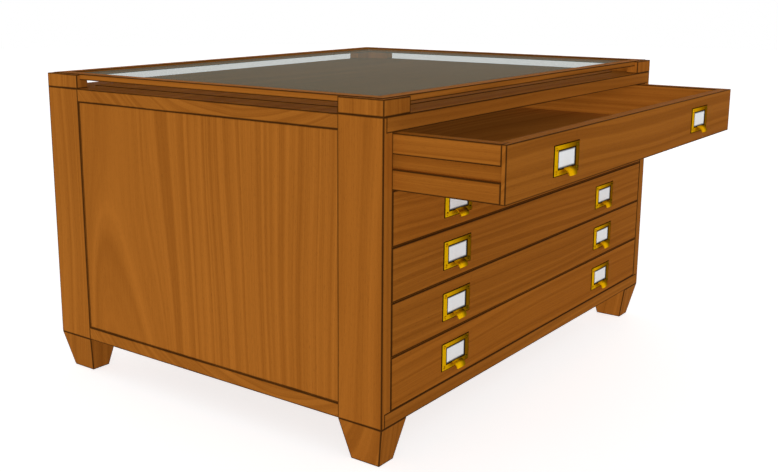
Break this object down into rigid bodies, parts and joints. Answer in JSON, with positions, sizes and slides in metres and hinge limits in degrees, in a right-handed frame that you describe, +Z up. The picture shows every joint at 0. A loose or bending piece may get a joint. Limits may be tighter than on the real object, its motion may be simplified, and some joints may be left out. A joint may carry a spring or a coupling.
{
  "type": "occasional table",
  "caption": "Low square-edged wooden table with shallow full-width drawers, brass label pulls, tapered block feet and a framed glass top held above a display board.",
  "frame": {"origin": "on the floor, in the middle of the case's footprint", "axes": "+Z up, +X to the right along the drawer fronts, +Y from the drawer fronts to the back; drawers open towards -Y"},
  "size_m": [0.836, 0.805, 0.48],
  "materials": {
    "case_wood": "satin, golden brown",
    "drawer_wood": "satin, golden brown",
    "brass": "polished",
    "glass": "clear, faintly grey",
    "card": "matt white card"
  },
  "bodies": {
    "case": {"top_board": "case_wood", "bottom_board": "case_wood", "left_front_post": "case_wood", "left_back_post": "case_wood", "right_front_post": "case_wood", "right_back_post": "case_wood", "left_panel": "case_wood", "right_panel": "case_wood", "back_panel": "case_wood", "display_board": "case_wood", "left_runners": "case_wood", "right_runners": "case_wood", "left_front_foot": "case_wood", "left_back_foot": "case_wood", "right_front_foot": "case_wood", "right_back_foot": "case_wood", "left_front_block": "case_wood", "left_back_block": "case_wood", "right_front_block": "case_wood", "right_back_block": "case_wood", "front_frame_rail": "case_wood", "back_frame_rail": "case_wood", "left_frame_rail": "case_wood", "right_frame_rail": "case_wood", "glass_pane": "glass"},
    "drawer_1": {"drawer_1_front": "drawer_wood", "drawer_1_back": "drawer_wood", "drawer_1_left_side": "drawer_wood", "drawer_1_right_side": "drawer_wood", "drawer_1_bottom": "drawer_wood", "drawer_1_pulls": "brass", "drawer_1_cards": "card"},
    "drawer_2": {"drawer_2_front": "drawer_wood", "drawer_2_back": "drawer_wood", "drawer_2_left_side": "drawer_wood", "drawer_2_right_side": "drawer_wood", "drawer_2_bottom": "drawer_wood", "drawer_2_pulls": "brass", "drawer_2_cards": "card"},
    "drawer_3": {"drawer_3_front": "drawer_wood", "drawer_3_back": "drawer_wood", "drawer_3_left_side": "drawer_wood", "drawer_3_right_side": "drawer_wood", "drawer_3_bottom": "drawer_wood", "drawer_3_pulls": "brass", "drawer_3_cards": "card"},
    "drawer_4": {"drawer_4_front": "drawer_wood", "drawer_4_back": "drawer_wood", "drawer_4_left_side": "drawer_wood", "drawer_4_right_side": "drawer_wood", "drawer_4_bottom": "drawer_wood", "drawer_4_pulls": "brass", "drawer_4_cards": "card"},
    "drawer_5": {"drawer_5_front": "drawer_wood", "drawer_5_back": "drawer_wood", "drawer_5_left_side": "drawer_wood", "drawer_5_right_side": "drawer_wood", "drawer_5_bottom": "drawer_wood", "drawer_5_pulls": "brass", "drawer_5_cards": "card"}
  },
  "joints": [
    {"name": "drawer_1_slide", "type": "slide", "parent": "case", "child": "drawer_1", "axis": [0, -1, 0], "range_m": [-0.154, 0.246]},
    {"name": "drawer_2_slide", "type": "slide", "parent": "case", "child": "drawer_2", "axis": [0, -1, 0], "range_m": [0, 0.4]},
    {"name": "drawer_3_slide", "type": "slide", "parent": "case", "child": "drawer_3", "axis": [0, -1, 0], "range_m": [0, 0.4]},
    {"name": "drawer_4_slide", "type": "slide", "parent": "case", "child": "drawer_4", "axis": [0, -1, 0], "range_m": [0, 0.4]},
    {"name": "drawer_5_slide", "type": "slide", "parent": "case", "child": "drawer_5", "axis": [0, -1, 0], "range_m": [0, 0.4]}
  ]
}
